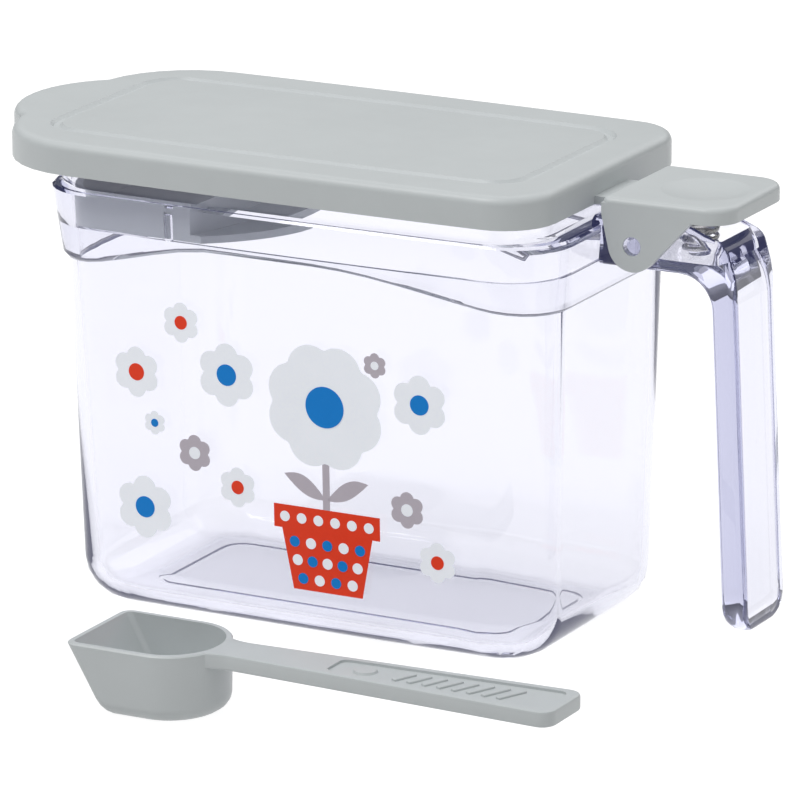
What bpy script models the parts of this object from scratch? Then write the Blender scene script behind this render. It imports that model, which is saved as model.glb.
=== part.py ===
"""Formula dispenser: a clear canister whose lid opens when a thumb lever is pressed, with its scoop.

Metres, +Z up. The canister stands on Z = 0 with its handle at +X, and Y = 0 is its middle plane.
The scoop lies on the same surface, in front of the canister at -Y.
"""

import math

import bmesh
import bpy
from mathutils import Matrix, Vector

MM = 0.001
TOUCH = 0.3 * MM  # gap kept between pieces that touch

# Canister: a drafted, rounded box with a flared collar and a plain rim.
BODY_LENGTH = 107.6 * MM  # outside, at the base
BODY_DEPTH = 61.4 * MM  # outside, at the base
CANISTER_HEIGHT = 94.2 * MM  # to the top of the rim
BODY_DRAFT = 0.025  # how far each side leans out per unit of height
BODY_BOW = 0.5 * MM  # how far the middle of each long side stands out
CORNER_RADIUS = 12.8 * MM
FOOT_RADIUS = 9.0 * MM
WALL = 2.2 * MM
FLOOR = 2.5 * MM
MOUTH_DEPTH = 14.0 * MM  # from the rim down to the inner shoulder
SHOULDER_WIDTH = 1.4 * MM
NECK_HEIGHT = 6.2 * MM  # from the collar's top edge to the rim
NECK_INSET = 1.7 * MM
NECK_WALL = 1.5 * MM
COLLAR_STEP = 1.2 * MM
COLLAR_FLARE = 0.055
COLLAR_SKIRT = 7.2 * MM  # how far the collar hangs below the shoulder at its ends
COLLAR_ARCH = 6.1 * MM  # how far its lower edge rises along the long sides
BASE_GROOVE_INSET = 4.0 * MM
BASE_GROOVE_WIDTH = 0.9 * MM
BASE_GROOVE_DEPTH = 0.5 * MM

# Handle: an upward-open arm that bends down into a free bar.
ARM_WIDTH = 19.0 * MM
ARM_WALL = 2.0 * MM
ARM_RISE = 1.6 * MM  # from the collar's top edge up to the top of the arm
ARM_HEIGHT = 9.8 * MM
ARM_FLOOR = 2.5 * MM
BAR_REACH = 30.6 * MM  # from the collar's end to the bar's outer face
BAR_THICKNESS = 5.6 * MM
BAR_LEAN = 2.4 * MM
BAR_TAPER = 0.6 * MM
BAR_CLEARANCE = 7.6 * MM  # from the surface up to the bar's free end
BAR_EDGE = 1.7 * MM
BAR_TIP_RADIUS = 5.0 * MM
BEND_RADIUS = 7.0 * MM
SLOPE_REACH = 11.4 * MM  # the arm's top starts to fall this far short of the bar's outer face
SLOPE_DROP = 3.6 * MM
POCKET_END_WALL = 1.7 * MM

# Pivot: two short pins on the arm carry the lever's ears.
PIN_REACH = 10.2 * MM  # from the collar's end
PIN_DROP = 2.1 * MM  # below the collar's top edge
PIN_RADIUS = 1.85 * MM
PIN_CLEARANCE = 0.1 * MM
BOSS_RADIUS = 3.2 * MM
EAR_GAP = 3.0 * MM  # from the arm's side to the inside of an ear

# Lid.
LID_HEIGHT = 6.6 * MM
LID_PLATE = 2.0 * MM
LID_WALL = 1.6 * MM
LID_EDGE = 1.8 * MM
LID_LIFT = 3.5 * MM  # from the collar's top edge up to the skirt
LID_CLEARANCE = 0.4 * MM
LID_SIDE_OVERLAP = 0.7 * MM  # beyond the collar on the long sides
LID_HINGE_SETBACK = 2.5 * MM  # short of the collar at the hinge end
LID_OVERHANG = 12.6 * MM  # beyond the collar at the free end
LID_CORNER_HINGE = 11.0 * MM
LID_CORNER_FREE = 21.7 * MM
TAB_BULGE = 7.7 * MM  # beyond the free end
TAB_RADIUS = 23.0 * MM
LID_GROOVE_INSET = 9.6 * MM
LID_GROOVE_FREE_INSET = 8.7 * MM
LID_GROOVE_HINGE_INSET = 8.2 * MM
LID_GROOVE_WIDTH = 2.7 * MM
LID_GROOVE_SLOPE = 0.8 * MM
LID_GROOVE_DEPTH = 0.7 * MM
PLUG_DEPTH = 2.6 * MM  # below the rim
PLUG_WALL = 1.4 * MM
PLUG_CLEARANCE = 0.6 * MM
PLUG_HINGE_CLEARANCE = 1.6 * MM  # more at the hinge, where the plug swings out
TONGUE_WIDTH = 15.0 * MM
TONGUE_END = 3.4 * MM  # beyond the pin

# Lever.
LEVER_RISE = 7.3 * MM  # above the collar's top edge
LEVER_PLATE = 1.8 * MM
LEVER_SKIRT = 3.4 * MM
LEVER_WALL = 1.8 * MM
LEVER_EDGE = 1.2 * MM
LEVER_BACK = 6.7 * MM  # from the pin to the lever's edge by the lid
LEVER_FRONT = 20.3 * MM  # from the pin to the thumb edge
LEVER_CORNER = 6.0 * MM
LEVER_BACK_CORNER = 1.4 * MM
EAR_WALL = 2.2 * MM
EAR_RADIUS = 5.2 * MM
EAR_FRONT = 12.6 * MM  # from the pin to where the ear meets the skirt
DISH_SETBACK = 11.3 * MM  # from the thumb edge
DISH_RADIUS = 45.0 * MM
DISH_DEPTH = 0.9 * MM

# Spring under the lever.
SPRING_REACH = 8.1 * MM  # from the pin
SPRING_RADIUS = 3.2 * MM  # to the middle of the wire
SPRING_WIRE = 0.9 * MM
SPRING_TURNS = 5
POST_RADIUS = 2.2 * MM
POST_HEIGHT = 2.2 * MM

# Leveller insert.
LEVELLER_LENGTH = 32.8 * MM
LEVELLER_PLATE = 1.5 * MM
LEVELLER_WALL = 1.8 * MM
LEVELLER_HEIGHT = 7.0 * MM
LEVELLER_CLEARANCE = 0.4 * MM
TONGUE_EDGE_SIDE = 2.4 * MM  # how far the levelling edge stands out at the walls
TONGUE_EDGE_MIDDLE = 10.5 * MM  # and in the middle
RIB_WIDTH = 1.2 * MM
RIB_DEPTH = 0.8 * MM
RIB_HEIGHT = 5.4 * MM
RIB_SETBACK = 5.0 * MM  # from the leveller's cross wall
SLOT_WIDTH = 2.0 * MM
SLOT_DEPTH = 0.9 * MM

# Scoop.
SCOOP_GAP = 35.7 * MM  # from the canister's base to the bowl
SCOOP_OFFSET = -3.6 * MM
BOWL_LENGTH = 29.3 * MM
BOWL_WIDTH = 24.4 * MM
BOWL_HEIGHT = 13.9 * MM
BOWL_DRAFT = 0.3 * MM
BOWL_NOSE_SLANT = 7.7 * MM
BOWL_CORNER = 2.6 * MM
BOWL_FOOT = 3.0 * MM
BOWL_WALL = 1.3 * MM
BOWL_FLOOR = 1.4 * MM
SCOOP_LENGTH = 103.9 * MM
STEM_NECK = 9.4 * MM
STEM_END = 15.5 * MM
STEM_THICKNESS = 3.3 * MM
STEM_CORNER = 3.0 * MM
STEM_EDGE = 0.6 * MM
STEM_RECESS_LENGTH = 48.0 * MM
STEM_RECESS_DEPTH = 0.5 * MM
STEM_RECESS_MARGIN = 2.0 * MM
STEM_RECESS_END = 2.4 * MM

# Worked out from the sizes above.
RIM_TOP = CANISTER_HEIGHT
COLLAR_TOP = RIM_TOP - NECK_HEIGHT
SHOULDER_Z = RIM_TOP - MOUTH_DEPTH
COLLAR_LOW = SHOULDER_Z - COLLAR_SKIRT
LONGER_BY = (BODY_LENGTH - BODY_DEPTH) / 2
COLLAR_HALF_X = BODY_LENGTH / 2 + BODY_DRAFT * COLLAR_TOP + COLLAR_STEP + COLLAR_FLARE * (COLLAR_TOP - COLLAR_LOW)
COLLAR_HALF_Y = COLLAR_HALF_X - LONGER_BY
LID_LOW = COLLAR_TOP + LID_LIFT
LID_TOP = LID_LOW + LID_HEIGHT
LID_UNDER = LID_TOP - LID_PLATE
LID_RIGHT = COLLAR_HALF_X - LID_HINGE_SETBACK
LID_LEFT = -COLLAR_HALF_X - LID_OVERHANG
LID_HALF_Y = COLLAR_HALF_Y + LID_SIDE_OVERLAP
NECK_LEFT = NECK_INSET - COLLAR_HALF_X
NECK_RIGHT = LID_RIGHT - LID_WALL - LID_CLEARANCE
NECK_HALF_Y = COLLAR_HALF_Y - NECK_INSET
NECK_RADIUS = CORNER_RADIUS - 0.8 * MM
MOUTH_HALF_X = BODY_LENGTH / 2 + BODY_DRAFT * SHOULDER_Z - WALL + SHOULDER_WIDTH
MOUTH_HALF_Y = MOUTH_HALF_X - LONGER_BY
MOUTH_RADIUS = CORNER_RADIUS - WALL + SHOULDER_WIDTH
END_X = BODY_LENGTH / 2 + BODY_DRAFT * SHOULDER_Z + COLLAR_STEP
ARM_ROOT_X = MOUTH_HALF_X + 0.9 * MM
ARM_TOP = COLLAR_TOP + ARM_RISE
ARM_BOTTOM = ARM_TOP - ARM_HEIGHT
POCKET_FLOOR = ARM_BOTTOM + ARM_FLOOR
BAR_OUTER_X = END_X + BAR_REACH
PIN_X = END_X + PIN_REACH
PIN_Z = COLLAR_TOP - PIN_DROP
EAR_INNER_Y = ARM_WIDTH / 2 + EAR_GAP
LEVER_HALF_Y = EAR_INNER_Y + EAR_WALL
LEVER_TOP = COLLAR_TOP + LEVER_RISE
LEVER_UNDER = LEVER_TOP - LEVER_PLATE
LEVER_LOW = LEVER_TOP - LEVER_SKIRT
SPRING_X = PIN_X + SPRING_REACH
LEVELLER_LEFT = -MOUTH_HALF_X + LEVELLER_CLEARANCE
LEVELLER_RIGHT = LEVELLER_LEFT + LEVELLER_LENGTH
LEVELLER_LOW = SHOULDER_Z + TOUCH
SCOOP_Y = -BODY_DEPTH / 2 - SCOOP_GAP - BOWL_WIDTH / 2

ARC_STEPS = 7
SIDE_STEPS = 14


# ---------------------------------------------------------------- outlines


def arc(centre, radius, start, end, steps):
    """Points on an arc, both ends included; angles in degrees."""
    angles = [math.radians(start + (end - start) * i / steps) for i in range(steps + 1)]
    return [(centre[0] + radius * math.cos(a), centre[1] + radius * math.sin(a)) for a in angles]


def bowed_side(start_x, end_x, y, bow, steps):
    """Points between the ends of a long side, which stands out in its middle."""
    middle, half = (start_x + end_x) / 2, abs(end_x - start_x) / 2
    points = []
    for i in range(1, steps):
        x = start_x + (end_x - start_x) * i / steps
        points.append((x, y + math.copysign(bow, y) * (1 - ((x - middle) / half) ** 2)))
    return points


def rounded_box(left, right, half_y, radius_left, radius_right, bow=0.0, steps=ARC_STEPS):
    """A rounded rectangle, anticlockwise from the right end, with the same number of points at any size."""
    r, q = radius_right, radius_left
    points = arc((right - r, half_y - r), r, 0, 90, steps)
    points += bowed_side(right - r, left + q, half_y, bow, SIDE_STEPS)
    points += arc((left + q, half_y - q), q, 90, 180, steps)
    points += arc((left + q, q - half_y), q, 180, 270, steps)
    points += bowed_side(left + q, right - r, -half_y, bow, SIDE_STEPS)
    points += arc((right - r, r - half_y), r, 270, 360, steps)
    return points


def centred_box(half_x, half_y, radius, bow=0.0):
    return rounded_box(-half_x, half_x, half_y, radius, radius, bow)


def crossing(corner, corner_radius, tab_x, tab_radius):
    """Where a corner's arc meets the finger tab's arc, as the angle of that point on each."""
    line = Vector(corner) - Vector((tab_x, 0))
    along = (tab_radius**2 - corner_radius**2 + line.length_squared) / (2 * line.length)
    aside = math.sqrt(tab_radius**2 - along**2)
    unit = line.normalized()
    on_tab = unit * along + Vector((-unit.y, unit.x)) * aside
    on_corner = on_tab - line
    return math.degrees(math.atan2(on_corner.y, on_corner.x)), math.degrees(math.atan2(on_tab.y, on_tab.x))


def lid_outline(inset):
    """The lid's edge, whose free end bulges out as a round finger tab."""
    right, left, half_y = LID_RIGHT - inset, LID_LEFT + inset, LID_HALF_Y - inset
    r, q, tab_radius = LID_CORNER_HINGE - inset, LID_CORNER_FREE - inset, TAB_RADIUS - inset
    tab_x = LID_LEFT - TAB_BULGE + TAB_RADIUS
    corner_end, tab_start = crossing((left + q, half_y - q), q, tab_x, tab_radius)
    points = arc((right - r, half_y - r), r, 0, 90, ARC_STEPS)
    points += bowed_side(right - r, left + q, half_y, BODY_BOW, SIDE_STEPS)
    points += arc((left + q, half_y - q), q, 90, corner_end, ARC_STEPS)
    points += arc((tab_x, 0), tab_radius, tab_start, 360 - tab_start, 2 * ARC_STEPS)[1:-1]
    points += arc((left + q, q - half_y), q, 360 - corner_end, 270, ARC_STEPS)
    points += bowed_side(left + q, right - r, -half_y, BODY_BOW, SIDE_STEPS)
    points += arc((right - r, r - half_y), r, 270, 360, ARC_STEPS)
    return points


def rounded_path(corners, steps=ARC_STEPS):
    """A path through corners given as (x, z, radius), each corner turned into an arc."""
    points = [Vector(corners[0][:2])]
    for before, corner, after in zip(corners, corners[1:], corners[2:]):
        here, radius = Vector(corner[:2]), corner[2]
        into = (Vector(before[:2]) - here).normalized()
        out = (Vector(after[:2]) - here).normalized()
        half = into.angle(out) / 2
        centre = here + (into + out).normalized() * radius / math.sin(half)
        start = here + into * radius / math.tan(half) - centre
        end = here + out * radius / math.tan(half) - centre
        sweep = math.atan2(start.x * end.y - start.y * end.x, start.dot(end))
        points += [centre + Matrix.Rotation(sweep * i / steps, 2) @ start for i in range(steps + 1)]
    return points + [Vector(corners[-1][:2])]


def spaced(path, count):
    """The path's points, placed again at equal distances along it."""
    lengths = [0.0]
    for a, b in zip(path, path[1:]):
        lengths.append(lengths[-1] + (b - a).length)
    points, k = [], 0
    for i in range(count + 1):
        goal = lengths[-1] * i / count
        while k < len(path) - 2 and lengths[k + 1] < goal:
            k += 1
        share = (goal - lengths[k]) / (lengths[k + 1] - lengths[k])
        points.append(path[k].lerp(path[k + 1], min(max(share, 0.0), 1.0)))
    return points


# ---------------------------------------------------------------- solids


def ring(outline, z):
    """An outline lifted to height z."""
    return [Vector((x, y, z)) for x, y in outline]


def loft(rings):
    """A closed solid whose skin runs through the rings, with a flat cap on the first and the last."""
    bm = bmesh.new()
    rows = [[bm.verts.new(p) for p in points] for points in rings]
    bm.faces.new(rows[0])
    bm.faces.new(rows[-1])
    for low, high in zip(rows, rows[1:]):
        for i in range(len(low)):
            j = (i + 1) % len(low)
            bm.faces.new((low[i], low[j], high[j], high[i]))
    bmesh.ops.recalc_face_normals(bm, faces=bm.faces)
    return bm


def prism(outline, low, high):
    return loft([ring(outline, low), ring(outline, high)])


def side_prism(outline, near, far):
    """An outline in X and Z, as thick as from Y = near to Y = far."""
    return loft([[Vector((x, y, z)) for x, z in outline] for y in (near, far)])


def cylinder(radius, near, far, x, z, steps=32):
    """A cylinder along Y."""
    return side_prism(arc((x, z), radius, 0, 360 * (steps - 1) / steps, steps - 1), near, far)


def block(low, high):
    bm = bmesh.new()
    bmesh.ops.create_cube(bm, size=1.0)
    size = Vector(high) - Vector(low)
    bmesh.ops.scale(bm, vec=size, verts=bm.verts)
    bmesh.ops.translate(bm, vec=(Vector(low) + Vector(high)) / 2, verts=bm.verts)
    return bm


def add_object(name, bm, collection, surface=None, origin=(0, 0, 0)):
    """Turns a bmesh into an object; origin becomes its location without moving its shape."""
    bmesh.ops.translate(bm, vec=-Vector(origin), verts=bm.verts)
    mesh = bpy.data.meshes.new(name)
    bm.to_mesh(mesh)
    bm.free()
    mesh.shade_smooth()
    mesh.set_sharp_from_angle(angle=math.radians(35))
    obj = bpy.data.objects.new(name, mesh)
    obj.location = origin
    collection.objects.link(obj)
    if surface:
        mesh.materials.append(surface)
    return obj


def combine(target, bm, operation, label, tools):
    """Adds a solid to the target, or cuts it away, with a Boolean modifier."""
    tool = add_object(f"{target.name}_{label}", bm, tools)
    tool.hide_render = True
    tool.display_type = "WIRE"
    modifier = target.modifiers.new(label, "BOOLEAN")
    modifier.operation = operation
    modifier.object = tool
    modifier.solver = "EXACT"
    return tool


def plastic(name, colour, roughness, alpha=1.0, metallic=0.0, transmission=0.0):
    surface = bpy.data.materials.new(name)
    surface.use_nodes = True
    shader = surface.node_tree.nodes["Principled BSDF"]
    shader.inputs["Base Color"].default_value = (*colour, 1.0)
    shader.inputs["Roughness"].default_value = roughness
    shader.inputs["Metallic"].default_value = metallic
    shader.inputs["Transmission Weight"].default_value = transmission
    shader.inputs["Alpha"].default_value = alpha
    return surface


# ---------------------------------------------------------------- canister


def body_ring(z, inset=0.0, radius_cut=0.0):
    """The body's outline at height z, moved in by inset."""
    lean = BODY_DRAFT * z
    radius = max(CORNER_RADIUS - inset - radius_cut, 0.5 * MM)
    return centred_box(BODY_LENGTH / 2 + lean - inset, BODY_DEPTH / 2 + lean - inset, radius, BODY_BOW)


def smooth_step(value, start, end):
    t = min(max((value - start) / (end - start), 0.0), 1.0)
    return t * t * (3 - 2 * t)


def collar_edge(x):
    """Height of the collar's lower edge, which arches up along the long sides."""
    half = BODY_LENGTH / 2
    arch = smooth_step(x, -0.97 * half, -0.30 * half) * smooth_step(x, 1.15 * half, 0.1 * half)
    return COLLAR_LOW + COLLAR_ARCH * arch


def collar_row(rise, stand_out):
    """A ring that follows the collar's lower edge at a distance of rise, stand_out proud of the body."""
    row = []
    for i, (x, _) in enumerate(body_ring(COLLAR_LOW)):
        z = collar_edge(x) + rise
        x, y = body_ring(z, -stand_out)[i]
        row.append(Vector((x, y, z)))
    return row


def neck_outline(inset):
    """The neck's outline; at the hinge end it is set back, inside the lid's skirt."""
    radius = NECK_RADIUS - inset
    return rounded_box(NECK_LEFT + inset, NECK_RIGHT - inset, NECK_HALF_Y - inset, radius, radius, BODY_BOW)


def canister_rings():
    """The canister's skin: up the outside, over the rim, down the inside to the floor."""
    rings = []
    for i in range(6):
        angle = math.radians(90 * i / 5)
        rise = FOOT_RADIUS * (1 - math.cos(angle))
        rings.append(ring(body_ring(rise, FOOT_RADIUS * (1 - math.sin(angle))), rise))
    rings += [collar_row(-0.3 * MM, 0.0), collar_row(0.0, 0.5 * MM), collar_row(0.9 * MM, COLLAR_STEP)]
    edge = 0.5 * MM
    for z, inset in ((COLLAR_TOP - edge, 0.05 * MM), (COLLAR_TOP, edge)):
        rings.append(ring(centred_box(COLLAR_HALF_X - inset, COLLAR_HALF_Y - inset, CORNER_RADIUS, BODY_BOW), z))
    rings.append(ring(neck_outline(-edge), COLLAR_TOP))
    for z, inset in ((COLLAR_TOP + edge, 0.0), (RIM_TOP - edge, 0.0), (RIM_TOP, edge)):
        rings.append(ring(neck_outline(inset), z))
    for z, inset in ((RIM_TOP, NECK_WALL - 0.3 * MM), (RIM_TOP - 0.3 * MM, NECK_WALL), (COLLAR_TOP, NECK_WALL)):
        rings.append(ring(neck_outline(inset), z))
    rings.append(ring(centred_box(MOUTH_HALF_X, MOUTH_HALF_Y, MOUTH_RADIUS, BODY_BOW), COLLAR_TOP - 2.0 * MM))
    rings.append(ring(centred_box(MOUTH_HALF_X, MOUTH_HALF_Y, MOUTH_RADIUS, BODY_BOW), SHOULDER_Z))
    rings.append(ring(body_ring(SHOULDER_Z, WALL), SHOULDER_Z))
    inner_foot = FOOT_RADIUS - WALL
    for i in range(6):
        angle = math.radians(90 * i / 5)
        z = FLOOR + inner_foot * (1 - math.sin(angle))
        rings.append(ring(body_ring(z, WALL + inner_foot * (1 - math.cos(angle))), z))
    return rings


def handle_rings():
    """The arm and the bar: one rounded section, carried along an outer and an inner line in the middle plane."""
    inner_x = BAR_OUTER_X - BAR_THICKNESS - BAR_TAPER
    tip_outer = Vector((BAR_OUTER_X + BAR_LEAN, BAR_CLEARANCE + BAR_TIP_RADIUS))
    tip_inner = Vector((tip_outer.x - BAR_THICKNESS, BAR_CLEARANCE + BAR_TIP_RADIUS))
    slope = (BAR_OUTER_X - SLOPE_REACH, ARM_TOP, 6 * MM)
    shoulder = (BAR_OUTER_X - 2.7 * MM, ARM_TOP - SLOPE_DROP, 3.5 * MM)
    knee = (BAR_OUTER_X - 0.6 * MM, ARM_TOP - SLOPE_DROP - 7.0 * MM, 24 * MM)
    outer = rounded_path([(ARM_ROOT_X, ARM_TOP), slope, shoulder, knee, tuple(tip_outer)])
    inner = rounded_path([(ARM_ROOT_X, ARM_BOTTOM), (inner_x, ARM_BOTTOM, BEND_RADIUS), tuple(tip_inner)])
    sections = list(zip(spaced(outer[:2], 3), spaced(inner[:2], 3)))
    sections += list(zip(spaced(outer[1:-1], 20), spaced(inner[1:-1], 20)))[1:]
    sections += list(zip(spaced(outer[-2:], 4), spaced(inner[-2:], 4)))[1:]
    rings = [handle_section(a, b, ARM_WIDTH / 2) for a, b in sections]
    down = (outer[-1] - outer[-2]).normalized()
    middle = (tip_outer + tip_inner) / 2
    for i in range(1, 7):
        angle = math.radians(84 * i / 6)
        drop, keep = BAR_TIP_RADIUS * math.sin(angle), BAR_TIP_RADIUS * (1 - math.cos(angle))
        shift = down * drop
        a = tip_outer.lerp(middle, 0.45 * keep / BAR_TIP_RADIUS) + shift
        b = tip_inner.lerp(middle, 0.9 * keep / BAR_TIP_RADIUS) + shift
        rings.append(handle_section(a, b, ARM_WIDTH / 2 - keep))
    return rings


def handle_section(outer, inner, half_y):
    """A rounded rectangle between an outer and an inner point of the middle plane."""
    across = outer - inner
    half = across.length / 2
    radius = min(BAR_EDGE, half * 0.95)
    middle, unit = (outer + inner) / 2, across.normalized()
    points = []
    for sx, sy, start in ((1, 1, 0), (-1, 1, 90), (-1, -1, 180), (1, -1, 270)):
        centre = (sx * (half - radius), sy * (half_y - radius))
        for u, y in arc(centre, radius, start, start + 90, 4):
            x, z = middle + unit * u
            points.append(Vector((x, y, z)))
    return points


def make_canister(parts, tools):
    surface = plastic("clear_as", (0.93, 0.93, 0.97), 0.04, alpha=0.35, transmission=1.0)
    canister = add_object("canister", loft(canister_rings()), parts, surface)
    combine(canister, loft(handle_rings()), "UNION", "handle", tools)
    pocket = block(
        (END_X + 1.8 * MM, ARM_WALL - ARM_WIDTH / 2, POCKET_FLOOR),
        (BAR_OUTER_X - 3.1 * MM - POCKET_END_WALL, ARM_WIDTH / 2 - ARM_WALL, RIM_TOP),
    )
    bmesh.ops.bevel(
        pocket,
        geom=[e for e in pocket.edges if abs(e.verts[0].co.z - e.verts[1].co.z) > TOUCH],
        affect="EDGES",
        offset=1.2 * MM,
        segments=3,
        profile=0.5,
        material=-1,
    )
    combine(canister, pocket, "DIFFERENCE", "pocket", tools)
    flat_x, flat_y = BODY_LENGTH / 2 - FOOT_RADIUS, BODY_DEPTH / 2 - FOOT_RADIUS
    groove = loft(tube_rings(flat_x - BASE_GROOVE_INSET, flat_y - BASE_GROOVE_INSET, BASE_GROOVE_WIDTH))
    combine(canister, groove, "DIFFERENCE", "base_groove", tools)
    for side, label in ((-1, "near"), (1, "far")):
        root, boss_end, pin_end = (
            side * (ARM_WIDTH / 2 - 0.5 * MM),
            side * (EAR_INNER_Y - TOUCH),
            side * (LEVER_HALF_Y - 0.1 * MM),
        )
        combine(canister, cylinder(BOSS_RADIUS, root, boss_end, PIN_X, PIN_Z), "UNION", f"{label}_boss", tools)
        combine(canister, cylinder(PIN_RADIUS, root, pin_end, PIN_X, PIN_Z, 28), "UNION", f"{label}_pin", tools)
        rib_y = side * MOUTH_HALF_Y
        rib_x = LEVELLER_RIGHT - RIB_SETBACK
        rib = block(
            (rib_x - RIB_WIDTH / 2, min(rib_y - side * RIB_DEPTH, rib_y + side * 1.2 * MM), SHOULDER_Z - 0.6 * MM),
            (rib_x + RIB_WIDTH / 2, max(rib_y - side * RIB_DEPTH, rib_y + side * 1.2 * MM), SHOULDER_Z + RIB_HEIGHT),
        )
        combine(canister, rib, "UNION", f"{label}_rib", tools)
    post = upright_post(SPRING_X, POCKET_FLOOR - 0.5 * MM, POCKET_FLOOR + POST_HEIGHT)
    combine(canister, post, "UNION", "spring_post", tools)
    return canister


def tube_rings(half_x, half_y, width):
    """A closed frame-shaped cutter for the groove in the base, as the four corners of its section."""
    radius = 5 * MM
    top, low = BASE_GROOVE_DEPTH, -1.0 * MM
    outer = centred_box(half_x, half_y, radius)
    inner = centred_box(half_x - width, half_y - width, radius - width)
    return [ring(outer, low), ring(outer, top), ring(inner, top), ring(inner, low)]


def upright_post(x, low, high):
    bm = bmesh.new()
    bmesh.ops.create_cone(bm, cap_ends=True, segments=24, radius1=POST_RADIUS, radius2=POST_RADIUS, depth=high - low)
    bmesh.ops.translate(bm, vec=(x, 0, (low + high) / 2), verts=bm.verts)
    return bm


# ---------------------------------------------------------------- lid


def frame_solid(rings):
    """A closed ring-shaped solid: the rings are joined in a loop instead of being capped."""
    bm = bmesh.new()
    rows = [[bm.verts.new(p) for p in points] for points in rings]
    for low, high in zip(rows, rows[1:] + rows[:1]):
        for i in range(len(low)):
            j = (i + 1) % len(low)
            bm.faces.new((low[i], low[j], high[j], high[i]))
    bmesh.ops.recalc_face_normals(bm, faces=bm.faces)
    return bm


def panel_outline(inset):
    """The outer edge of the groove round the lid's middle panel, moved in by inset."""
    left, right = LID_LEFT + LID_GROOVE_FREE_INSET + inset, LID_RIGHT - LID_GROOVE_HINGE_INSET - inset
    return rounded_box(left, right, LID_HALF_Y - LID_GROOVE_INSET - inset, 9 * MM - inset, 9 * MM - inset, BODY_BOW)


def plug_outline(inset):
    """The ring under the lid that enters the neck; it keeps clear of the hinge end, where it swings out."""
    step = NECK_WALL + PLUG_CLEARANCE + inset
    radius = NECK_RADIUS - step
    right = NECK_RIGHT - step - PLUG_HINGE_CLEARANCE
    return rounded_box(NECK_LEFT + step, right, NECK_HALF_Y - step, radius, radius, BODY_BOW)


def make_lid_seal(parts):
    """A flat gasket held around the plug, over the rim."""
    outer = neck_outline(0.2 * MM)
    inner = plug_outline(-TOUCH)
    low, high = RIM_TOP + TOUCH, LID_UNDER - TOUCH
    surface = plastic("silicone", (0.86, 0.87, 0.87), 0.5)
    seal = frame_solid([ring(outer, low), ring(outer, high), ring(inner, high), ring(inner, low)])
    return add_object("lid_seal", seal, parts, surface)


def make_lid(parts, tools, surface):
    """A plate with a skirt, an inner plug that enters the mouth, and a tongue that the lever clips over."""
    rings = [ring(lid_outline(0.0), LID_LOW)]
    for i in range(6):
        angle = math.radians(90 * i / 5)
        z = LID_TOP - LID_EDGE * (1 - math.sin(angle))
        rings.append(ring(lid_outline(LID_EDGE * (1 - math.cos(angle))), z))
    skirt = [ring(lid_outline(LID_WALL), LID_UNDER), ring(lid_outline(LID_WALL), LID_LOW)]
    lid = add_object("lid", loft(list(reversed(rings)) + list(reversed(skirt))), parts, surface, hinge_point())
    low, high = RIM_TOP - PLUG_DEPTH, LID_UNDER + 0.6 * MM
    outer, inner = plug_outline(0.0), plug_outline(PLUG_WALL)
    plug = frame_solid([ring(outer, low), ring(outer, high), ring(inner, high), ring(inner, low)])
    combine(lid, plug, "UNION", "plug", tools)
    tongue = block(
        (LID_RIGHT - 0.9 * MM, -TONGUE_WIDTH / 2, LID_LOW),
        (PIN_X + TONGUE_END, TONGUE_WIDTH / 2, LEVER_UNDER - TOUCH),
    )
    combine(lid, tongue, "UNION", "tongue", tools)
    floor, mouth = LID_TOP - LID_GROOVE_DEPTH, LID_TOP + 0.05 * MM
    inside = LID_GROOVE_WIDTH
    slope = LID_GROOVE_SLOPE
    levels = ((0.0, LID_TOP + MM), (0.0, mouth), (slope, floor), (inside - slope, floor), (inside, mouth))
    groove = frame_solid([ring(panel_outline(inset), z) for inset, z in levels + ((inside, LID_TOP + MM),)])
    combine(lid, groove, "DIFFERENCE", "groove", tools)
    return lid


def hinge_point():
    return Vector((PIN_X, 0, PIN_Z))


# ---------------------------------------------------------------- lever


def lever_outline(inset):
    return rounded_box(
        PIN_X - LEVER_BACK + inset,
        PIN_X + LEVER_FRONT - inset,
        LEVER_HALF_Y - inset,
        max(LEVER_BACK_CORNER - inset, 0.2 * MM),
        LEVER_CORNER - inset,
        steps=ARC_STEPS,
    )


def tangent_point(point, centre, radius, side):
    """Where a line from the point touches the circle, on the side given as 1 or -1."""
    line = Vector(centre) - Vector(point)
    swing = math.asin(radius / line.length)
    reach = math.sqrt(line.length**2 - radius**2)
    return Vector(point) + Matrix.Rotation(side * swing, 2) @ line.normalized() * reach


def ear_outline():
    """An ear in X and Z: round about the pin, with a straight edge up each side to the plate."""
    pin = Vector((PIN_X, PIN_Z))
    high = LEVER_UNDER + 0.6 * MM
    back = Vector((PIN_X - LEVER_BACK, LEVER_LOW))
    front = Vector((PIN_X + EAR_FRONT, LEVER_LOW))
    start = tangent_point(back, pin, EAR_RADIUS, -1) - pin
    end = tangent_point(front, pin, EAR_RADIUS, 1) - pin
    first = math.degrees(math.atan2(start.y, start.x)) % 360
    last = math.degrees(math.atan2(end.y, end.x)) % 360
    points = [(back.x, high), tuple(back)]
    points += arc(pin, EAR_RADIUS, first, last, 12)
    return points + [tuple(front), (front.x, high)]


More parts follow.
